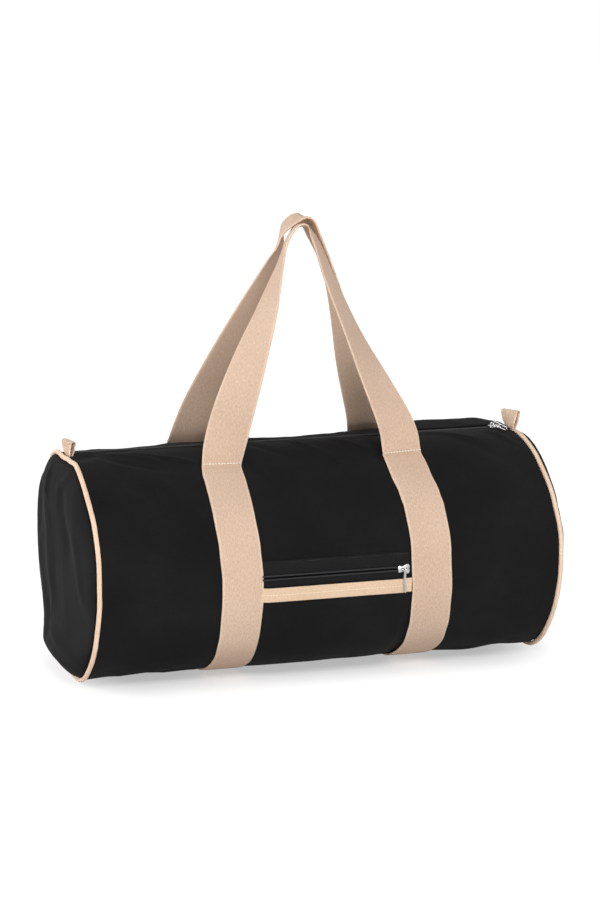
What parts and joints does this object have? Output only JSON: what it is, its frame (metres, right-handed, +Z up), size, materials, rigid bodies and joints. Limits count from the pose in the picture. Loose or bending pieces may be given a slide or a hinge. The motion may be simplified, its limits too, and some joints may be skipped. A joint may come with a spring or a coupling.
{
  "type": "barrel sports bag",
  "caption": "Canvas barrel sports bag with piped round ends, zipped mouth, zipped front pocket and webbing straps that become standing carry handles.",
  "frame": {"origin": "on the floor under the middle of the bag, between the undersides of the two straps", "axes": "+X along the bag from its left end to its right end as seen from the front, +Y from the pocket side to the back, +Z up"},
  "size_m": [0.4796, 0.2604, 0.4331],
  "materials": {
    "canvas_black": "matt cotton canvas",
    "webbing_natural": "undyed cotton webbing",
    "piping_natural": "plain woven bias strip",
    "binding_black": "flat woven tape",
    "zip_tape_black": "woven zip tape",
    "zip_coil_black": "moulded monofilament",
    "nickel": "bright nickel plate"
  },
  "bodies": {
    "bag": {"body_panel": "canvas_black", "end_panel_left": "canvas_black", "end_panel_right": "canvas_black", "pocket_panel": "canvas_black", "pocket_trim": "webbing_natural", "piping_cover_left": "piping_natural", "piping_cover_right": "piping_natural", "piping_cord_left": "piping_natural", "piping_cord_right": "piping_natural", "seam_binding_left": "binding_black", "seam_binding_right": "binding_black", "strap_left": "webbing_natural", "strap_right": "webbing_natural", "loop_left": "webbing_natural", "loop_right": "webbing_natural", "main_zip_tape_front": "zip_tape_black", "main_zip_tape_back": "zip_tape_black", "main_zip_coil_front": "zip_coil_black", "main_zip_coil_back": "zip_coil_black", "pocket_zip_tape_upper": "zip_tape_black", "pocket_zip_tape_lower": "zip_tape_black", "pocket_zip_coil_upper": "zip_coil_black", "pocket_zip_coil_lower": "zip_coil_black"},
    "handle_front": {"handle_front": "webbing_natural"},
    "handle_back": {"handle_back": "webbing_natural"},
    "main_slider": {"main_slider": "nickel"},
    "main_puller": {"main_puller": "nickel"},
    "pocket_slider": {"pocket_slider": "nickel"},
    "pocket_puller": {"pocket_puller": "nickel"}
  },
  "joints": [
    {"name": "handle_front_fold", "type": "hinge", "parent": "bag", "child": "handle_front", "pos_m": [0, -0.0547, 0.21104], "axis": [1, 0, 0], "range_deg": [0, 105]},
    {"name": "handle_back_fold", "type": "hinge", "parent": "bag", "child": "handle_back", "pos_m": [0, 0.0547, 0.21104], "axis": [-1, 0, 0], "range_deg": [0, 105]},
    {"name": "main_slider_slide", "type": "slide", "parent": "bag", "child": "main_slider", "axis": [-1, 0, 0], "range_m": [0, 0.415]},
    {"name": "main_puller_swing", "type": "hinge", "parent": "main_slider", "child": "main_puller", "pos_m": [0.204, 0, 0.21955], "axis": [-1, 0, 0], "range_deg": [0, 170]},
    {"name": "pocket_slider_slide", "type": "slide", "parent": "bag", "child": "pocket_slider", "axis": [-1, 0, 0], "range_m": [0, 0.132]},
    {"name": "pocket_puller_swing", "type": "hinge", "parent": "pocket_slider", "child": "pocket_puller", "pos_m": [0.0662, -0.13135, 0.1107], "axis": [-1, 0, 0], "range_deg": [0, 170]}
  ]
}
